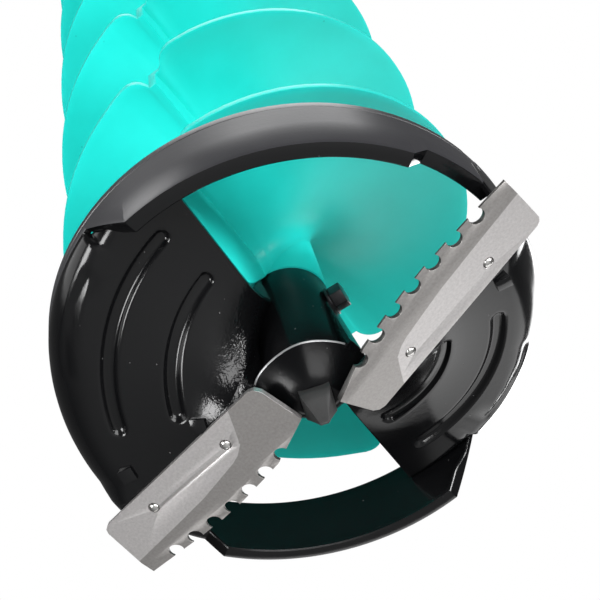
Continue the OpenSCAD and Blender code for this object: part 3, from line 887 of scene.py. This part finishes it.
def makeScrews():
    # a screw's domed end below the blade, its shank, and washer and nut above the pan
    r, seat, pitch = screw["r"], screw["seat"], screw["pitch"]
    endLow, endHigh = (seat + z for z in screw["end"])
    shank = [(r, endLow), (r - screw["endInset"], endHigh), (0, endHigh)]
    threads = []
    for i in range(screw["threads"]):
        z = seat + screw["threadFrom"] + i * pitch
        threads += [(r, z), (r - screw["threadDepth"], z + pitch / 2)]
    washer = [(washerR, seat + z) for washerR, z in screw["washer"]]
    nut = hexPrism(screw["nutAcross"], seat + screw["nutFrom"], seat + screw["nutTo"])
    parts = []
    for along in blade["screws"]:
        for pts, fcs in (lathe(screw["dome"] + threads + shank, 32), lathe(washer, 40), nut):
            moved = [bladeMatrix() @ (v + Vector((along, blade["screwLine"], 0))) for v in pts]
            parts.append((moved, fcs))
    points, faces = joinParts(parts)
    part = buildObject("screw part", points, faces)
    tidyMesh(part)
    piece = spinCopies("blade_screws_bright", part, screw["count"], 0, screwSteel)
    return finishPiece(piece, [screwSteel], "auger", ["blade_screws"], 30)


hub = {
    "sleeveR": 17.0, "boreR": 15.1, "top": 50.0, "low": -2.0, "rings": (16, 34), "sleeveSteps": 128,
    "lowEdge": (0.8, 0.2, 0.25, 0.9), "topEdge": (0.9, 0.25, 0.3, 1),  # insets, then distances from the end
    "noseR": 17.6, "noseZ": -14.4, "flare": 4.2, "flarePower": 4,  # the nose is wider towards the blades
    "socketR": 5.9, "domeFrom": 0.36, "domeRise": 12, "domePower": 1.35,
    "bearing": 0.05, "noseTop": -2.2, "noseWall": 0.1, "noseCrowd": 0.8, "noseSteps": 120, "noseRings": 26,
    "highlightLow": -3.1, "highlightHigh": -2.25, "highlightFaces": (-0.96, 0.5),  # where the nose's rim gets a painted highlight of bright metal
}
point = {
    "perSide": 6, "edge": 0.35,
    "wave": 0.12, "waveRates": (5.1, 2.3), "waveIn": 0.02, "waveAside": 0.4,  # unevenness of the forging
    # height, then half widths; the first three rows are the square shank
    "rows": [(-6.2, 5.8, 5.8), (-15.9, 5.8, 5.8), (-16.7, 5.742, 5.742),
             (-20, 4.45, 4.2), (-24, 3.0, 2.2), (-27.6, 1.8, 0.62), (-28.4, 1.5, 0.3)],
}


def makeSleeve():
    r, bore, top, low = hub["sleeveR"], hub["boreR"], hub["top"], hub["low"]
    lowFace, lowSide, lowIn, lowUp = hub["lowEdge"]
    topFace, topSide, topIn, topDown = hub["topEdge"]
    profile = [(bore, low), (r - lowFace, low), (r - lowSide, low + lowIn), (r, low + lowUp)]
    profile += [(r, low + z) for z in hub["rings"]]
    profile += [(r, top - topDown), (r - topSide, top - topIn), (r - topFace, top), (bore, top)]
    steps = hub["sleeveSteps"]
    points, faces = loopShell([[polar(pr, 360 * i / steps, z) for pr, z in profile] for i in range(steps)])
    piece = buildObject("hub_sleeve_painted", points, faces)
    tidyMesh(piece)
    return finishPiece(piece, [hubBlack], "auger", ["hub_sleeve"], 30)


def noseEdge(az):
    return hub["noseR"] + hub["flare"] * abs(math.cos(math.radians(az))) ** hub["flarePower"]


def noseBottom(r, az):
    # the nose's lower face: a blunt cone, cut flat where the blades bear on it
    domeFrom = hub["domeFrom"]
    outward = max(0, (r / noseEdge(az) - domeFrom) / (1 - domeFrom))
    dome = hub["noseZ"] + hub["domeRise"] * outward ** hub["domePower"]
    cut = max(seatZ(r, az), seatZ(r, az + 180)) + hub["bearing"]
    return min(hub["noseTop"] - hub["noseWall"], max(dome, cut))


def makeNose():
    steps, rings = hub["noseSteps"], hub["noseRings"]
    points, faces = [], []
    for side in (0, 1):
        for i in range(steps):
            az = 360 * i / steps
            for j in range(rings + 1):
                r = mix(hub["socketR"], noseEdge(az), (j / rings) ** hub["noseCrowd"])
                points.append(polar(r, az, hub["noseTop"] if side else noseBottom(r, az)))
    count = rings + 1
    half = steps * count
    for i in range(steps):
        a, b = i * count, (i + 1) % steps * count
        for j in range(rings):
            faces.append((a + j, a + j + 1, b + j + 1, b + j))
            faces.append((half + a + j, half + b + j, half + b + j + 1, half + a + j + 1))
        faces.append((a + rings, half + a + rings, half + b + rings, b + rings))
        faces.append((a, b, half + b, half + a))
    piece = buildObject("hub_nose_painted", points, faces)
    tidyMesh(piece)
    roundEdges(piece, 0.5, 2, 30)
    # the rounded faces along the nose's rim take the bright metal as a painted highlight
    highlightFrom, highlightTo = hub["highlightFaces"]
    for face in piece.data.polygons:
        height = (face.center.z - headZ) / milli
        highlighted = hub["highlightLow"] < height < hub["highlightHigh"] and highlightFrom < face.normal.z < highlightTo
        face.material_index = 1 if highlighted else 0
    return finishPiece(piece, [hubBlack, paintedHighlightEdge], "auger", ["hub_nose"], 35)


def makePoint():
    # square forged chisel point, its faces a little hollow and uneven
    rows, perSide, (alongRate, roundRate) = point["rows"], point["perSide"], point["waveRates"]
    waveIn, waveAside = point["waveIn"], point["waveAside"]
    corners = [(1, -1), (1, 1), (-1, 1), (-1, -1), (1, -1)]
    points, faces = [], []
    for k, (z, wx, wy) in enumerate(rows):
        for (x0, y0), (x1, y1) in zip(corners, corners[1:]):
            for i in range(perSide):
                x, y = mix(x0, x1, i / perSide) * wx, mix(y0, y1, i / perSide) * wy
                wave = point["wave"] if 0 < k < len(rows) - 1 else 0
                uneven = wave * math.sin(alongRate * z + roundRate * i)
                points.append(Vector((x * (1 - waveIn * uneven), y + uneven * waveAside, z)))
    count = perSide * 4
    for k in range(len(rows) - 1):
        for i in range(count):
            j = (i + 1) % count
            faces.append((k * count + i, k * count + j, (k + 1) * count + j, (k + 1) * count + i))
    faces += [tuple(range(count)), tuple(reversed(range((len(rows) - 1) * count, len(rows) * count)))]
    piece = buildObject("centre_point_forged", points, faces)
    tidyMesh(piece)
    roundEdges(piece, point["edge"], 2, 30)
    return finishPiece(piece, [roughSteel], "auger", ["centre_point"], 35)


print("building the head")
makePan("cutting_pan_a_painted", "cutting_pan_a", 0)
makePan("cutting_pan_b_painted", "cutting_pan_b", 180)
makeRing()
makeSleeve()
makeNose()
makePoint()
makeBlade("blade_a_ground", "blade_a", 0)
makeBlade("blade_b_ground", "blade_b", 180)
makeScrews()
refined("hub_bolt_black", "hub_bolt", boltBlack, width=0.5, segments=3)
refined("hub_washers_black", "hub_washers", boltBlack, width=0.2)
refined("hub_lock_nut_zinc", "hub_lock_nut", zincPlate, width=0.4)

print("building the flighting")
for side, turn in (("a", 0), ("b", 180)):
    for section, place in enumerate(("low", "mid", "top")):
        makeFlight(f"flight_{side}_{place}_moulded", f"flight_{side}_{place}", turn, section)
refined("core_tube_moulded", "core_tube", teal, width=0.6)

print("building the drill end")
refined("drive_tube_zinc", "drive_tube", zincPlate, width=0.25)
refined("tube_bolt_zinc", "tube_bolt", zincPlate, width=0.5, segments=3)
refined("tube_washers_zinc", "tube_washers", zincPlate, width=0.2)
refined("tube_lock_nut_zinc", "tube_lock_nut", zincPlate, width=0.4)
refined("thrust_washer_nylon", "thrust_washer", nylon, width=0.25)
refined("float_disc_moulded", "float_disc", discPlastic, "float_disc", 0.5)
refined("retaining_ring_sprung", "retaining_ring", springSteel, width=0.2)
refined("drill_adapter_turned", "drill_adapter", zincPlate, width=0.25)
refined("snap_button_turned", "snap_button", screwSteel, "snap_button", 0.3)
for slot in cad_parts["button_spring"].material_slots:
    slot.material = springSteel


stage = {
    "floorZ": -2.3, "floorSize": 24.0, "floorGrey": (0.6, 0.6, 0.6), "floorSeen": (0.62, 0.62, 0.62),
    "airLight": 0.11, "airSeen": 1.0,  # what the surroundings throw on the auger, and how white they look
    "lens": 68.4816, "sensor": 36, "cameraPlace": (0, -0.26106, -0.33226),  # from the low rim's centre
    "cameraRight": (0.95475645, 0.23913597, -0.17678833), "cameraUp": (0.29717171, -0.7898893, 0.53643626),
}
floorMesh = bpy.data.meshes.new("floor")
half = stage["floorSize"] / 2
corners = [(x * half, y * half, stage["floorZ"]) for x, y in ((-1, -1), (1, -1), (1, 1), (-1, 1))]
floorMesh.from_pydata(corners, [], [(0, 1, 2, 3)])
floor = linkMesh("floor", floorMesh)
floorMaterial, floorStart, _, floorShader = startMaterial("pale floor")
toCamera = floorStart.make("ShaderNodeLightPath")  # the floor looks pale but throws little light up
finishMaterial(floorStart, floorShader, {
    "Emission Color": toCamera.blend((0, 0, 0), stage["floorSeen"]), "Emission Strength": 1.0,
    "Base Color": stage["floorGrey"], "Roughness": 0.7,
})
floorMesh.materials.append(floorMaterial)

world = bpy.data.worlds.new("studio")
world.use_nodes = True
world.node_tree.nodes.clear()
air = Wire(world.node_tree)
rays = air.make("ShaderNodeLightPath")
around = air.make("ShaderNodeBackground", None, {0: (1, 1, 1), 1: stage["airLight"]})
seen = air.make("ShaderNodeBackground", None, {0: (1, 1, 1), 1: stage["airSeen"]})
either = air.make("ShaderNodeMixShader", None, {0: rays, 1: around, 2: seen})
worldOut = world.node_tree.nodes.new("ShaderNodeOutputWorld")
plug(world.node_tree, worldOut.inputs[0], either)
bpy.context.scene.world = world


def softbox(name, place, aim, size, power):
    # an area light, its place, aim and size in metres and its power in watts
    light = bpy.data.lights.new(name, "AREA")
    light.shape = "RECTANGLE"
    light.size, light.size_y = size
    light.energy = power
    lamp = bpy.data.objects.new(name, light)
    bpy.context.collection.objects.link(lamp)
    lamp.location = place
    lamp.rotation_mode = "QUATERNION"
    lamp.rotation_quaternion = (Vector(aim) - Vector(place)).to_track_quat("-Z", "Y")


head = (0, 0, headZ)
softbox("key light", (0.6, -1.3, -1.85), head, (1.2, 0.8), 26)
softbox("table glow", (0.25, 1.7, -1.3), head, (1.9, 0.9), 10)
softbox("right glint", (1.36, -0.43, -1.38), head, (0.3, 0.45), 17)
softbox("left glint", (-0.86, -0.46, -1.5), head, (0.35, 0.35), 8)
softbox("side light", (-1.7, -0.6, -0.5), (0, 0, -0.6), (0.7, 1.6), 8)
softbox("top light", (0.3, -0.5, 1.5), (0, 0, -0.3), (1.4, 1.4), 20)
softbox("back fill", (1.2, 1.9, 0.5), (0, 0, -0.4), (1.3, 1.5), 34)
softbox("front fill", (-1.4, -1.6, 0.7), (0, 0, -0.4), (1.0, 1.4), 18)

camera = bpy.data.cameras.new("camera")
camera.lens = stage["lens"]
camera.sensor_width = stage["sensor"]
camera.clip_start = 0.01
cameraObject = bpy.data.objects.new("camera", camera)
bpy.context.collection.objects.link(cameraObject)
right, up = Vector(stage["cameraRight"]), Vector(stage["cameraUp"])
aside, forth, below = stage["cameraPlace"]
view = Matrix((right, up, right.cross(up))).transposed().to_4x4()
view.translation = (aside, forth, headZ + below)
cameraObject.matrix_world = view
bpy.context.scene.camera = cameraObject
bpy.context.scene.view_settings.view_transform = "Standard"

print("scene ready")
